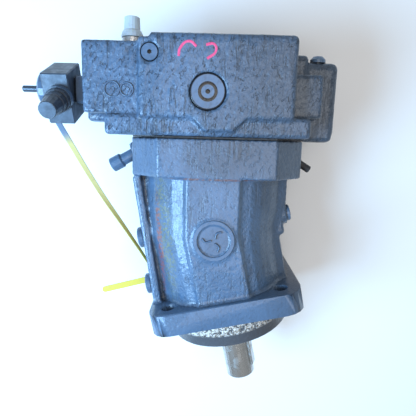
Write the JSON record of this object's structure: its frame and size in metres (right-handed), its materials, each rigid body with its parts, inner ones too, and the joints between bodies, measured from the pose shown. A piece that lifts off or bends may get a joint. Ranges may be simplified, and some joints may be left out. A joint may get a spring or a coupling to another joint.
{
  "type": "axial piston pump",
  "caption": "Bent-axis variable displacement piston pump with square mounting flange, keyed shaft, angled port plate and side-mounted control valve.",
  "frame": {"origin": "on the shaft axis, at the mounting face of the square flange", "axes": "+Y along the shaft from the flange towards the port plate, +Z out of the raised front panel, +X to the right of it; the pump lies on its back"},
  "size_m": [0.3827, 0.4913, 0.2001],
  "materials": {
    "blue_paint": "satin enamel over sand casting",
    "bright_steel": "ground",
    "dark_steel": "black oxide",
    "slate_steel": "satin",
    "bronze": "machined",
    "black_rubber": "matte",
    "white_plastic": "matte",
    "yellow_plastic": "matte"
  },
  "bodies": {
    "pump_body": {"housing": "blue_paint", "port_plate": "blue_paint", "front_plug": "blue_paint", "small_plug": "blue_paint", "flank_plug_1": "blue_paint", "flank_plug_2": "blue_paint", "flank_plug_3": "blue_paint", "stop_cover": "blue_paint", "valve_adapter": "blue_paint", "rear_bearing_cup": "bright_steel", "front_bearing_cup": "bright_steel", "spool_spring": "bright_steel", "vent_screw": "bright_steel", "port_fitting": "bright_steel", "left_stub": "bright_steel", "plate_screw_1": "dark_steel", "plate_screw_2": "dark_steel", "plate_screw_3": "dark_steel", "plate_screw_4": "dark_steel", "left_bore_plug": "dark_steel", "right_bore_plug": "dark_steel", "seal_retaining_ring": "dark_steel", "spring_housing": "dark_steel", "valve_locknut": "dark_steel", "valve_cap": "dark_steel", "valve_block": "slate_steel", "shaft_seal": "black_rubber", "plate_gasket": "black_rubber", "right_stub": "black_rubber", "transport_cap": "white_plastic", "tie_strap": "yellow_plastic", "strap_tag": "yellow_plastic"},
    "shaft": {"drive_shaft": "bright_steel", "shaft_key": "bright_steel", "retaining_plate": "bronze", "rear_bearing_cone": "bright_steel", "front_bearing_cone": "bright_steel"},
    "rear_rollers": {"rear_bearing_rollers": "bright_steel"},
    "front_rollers": {"front_bearing_rollers": "bright_steel"},
    "swivel": {"control_lens": "bronze"},
    "barrel": {"cylinder_barrel": "bright_steel", "centre_pin": "bright_steel", "centre_spring": "bright_steel"},
    "piston_body_1": {"piston_1": "bright_steel"},
    "piston_body_2": {"piston_2": "bright_steel"},
    "piston_body_3": {"piston_3": "bright_steel"},
    "piston_body_4": {"piston_4": "bright_steel"},
    "piston_body_5": {"piston_5": "bright_steel"},
    "piston_body_6": {"piston_6": "bright_steel"},
    "piston_body_7": {"piston_7": "bright_steel"},
    "stroker": {"stroking_piston": "bright_steel", "positioning_pin": "bright_steel"},
    "spool": {"control_spool": "bright_steel"},
    "adjuster": {"adjusting_screw": "bright_steel"},
    "stop_screw": {"stroke_stop_screw": "dark_steel"}
  },
  "joints": [
    {"name": "shaft_turn", "type": "hinge", "parent": "pump_body", "child": "shaft", "pos_m": [0, 0, 0], "axis": [0, 1, 0], "range_deg": [-360, 360]},
    {"name": "rear_roller_turn", "type": "hinge", "parent": "pump_body", "child": "rear_rollers", "pos_m": [0, 0.063, 0], "axis": [0, 1, 0], "range_deg": [-160, 160]},
    {"name": "front_roller_turn", "type": "hinge", "parent": "pump_body", "child": "front_rollers", "pos_m": [0, 0.015, 0], "axis": [0, 1, 0], "range_deg": [-160, 160]},
    {"name": "swivel_tilt", "type": "hinge", "parent": "pump_body", "child": "swivel", "pos_m": [0, 0.108, 0], "axis": [0, 0, -1], "range_deg": [0, 25]},
    {"name": "barrel_spin", "type": "hinge", "parent": "swivel", "child": "barrel", "pos_m": [0, 0.108, 0], "axis": [0, 1, 0], "range_deg": [-360, 360]},
    {"name": "piston_stroke_1", "type": "slide", "parent": "barrel", "child": "piston_body_1", "axis": [0, 1, 0], "range_m": [-0.0172, 0.0172]},
    {"name": "piston_stroke_2", "type": "slide", "parent": "barrel", "child": "piston_body_2", "axis": [0, 1, 0], "range_m": [-0.0172, 0.0172]},
    {"name": "piston_stroke_3", "type": "slide", "parent": "barrel", "child": "piston_body_3", "axis": [0, 1, 0], "range_m": [-0.0172, 0.0172]},
    {"name": "piston_stroke_4", "type": "slide", "parent": "barrel", "child": "piston_body_4", "axis": [0, 1, 0], "range_m": [-0.0172, 0.0172]},
    {"name": "piston_stroke_5", "type": "slide", "parent": "barrel", "child": "piston_body_5", "axis": [0, 1, 0], "range_m": [-0.0172, 0.0172]},
    {"name": "piston_stroke_6", "type": "slide", "parent": "barrel", "child": "piston_body_6", "axis": [0, 1, 0], "range_m": [-0.0172, 0.0172]},
    {"name": "piston_stroke_7", "type": "slide", "parent": "barrel", "child": "piston_body_7", "axis": [0, 1, 0], "range_m": [-0.0172, 0.0172]},
    {"name": "stroker_slide", "type": "slide", "parent": "pump_body", "child": "stroker", "axis": [0.9763, -0.2164, 0], "range_m": [0, 0.0565]},
    {"name": "spool_slide", "type": "slide", "parent": "pump_body", "child": "spool", "axis": [-0.0873, -0.394, 0.915], "range_m": [0, 0.003], "stiffness_N_per_m": 2000, "deforming": ["spool_spring"]},
    {"name": "adjuster_travel", "type": "slide", "parent": "pump_body", "child": "adjuster", "axis": [-0.0873, -0.394, 0.915], "range_m": [-0.003, 0.002]},
    {"name": "stop_screw_travel", "type": "slide", "parent": "pump_body", "child": "stop_screw", "axis": [-0.9763, 0.2164, 0], "range_m": [-0.001, 0.005]}
  ],
  "couplings": [
    {"joint": "barrel_spin", "follows": "shaft_turn", "ratio": 1},
    {"joint": "rear_roller_turn", "follows": "shaft_turn", "ratio": 0.434},
    {"joint": "front_roller_turn", "follows": "shaft_turn", "ratio": 0.438},
    {"joint": "piston_stroke_1", "follows": "swivel_tilt", "m_per_rad": 0.03869},
    {"joint": "piston_stroke_2", "follows": "swivel_tilt", "m_per_rad": 0.02412},
    {"joint": "piston_stroke_3", "follows": "swivel_tilt", "m_per_rad": -0.00861},
    {"joint": "piston_stroke_4", "follows": "swivel_tilt", "m_per_rad": -0.03486},
    {"joint": "piston_stroke_5", "follows": "swivel_tilt", "m_per_rad": -0.03486},
    {"joint": "piston_stroke_6", "follows": "swivel_tilt", "m_per_rad": -0.00861},
    {"joint": "piston_stroke_7", "follows": "swivel_tilt", "m_per_rad": 0.02412},
    {"joint": "stroker_slide", "follows": "swivel_tilt", "m_per_rad": 0.129}
  ]
}
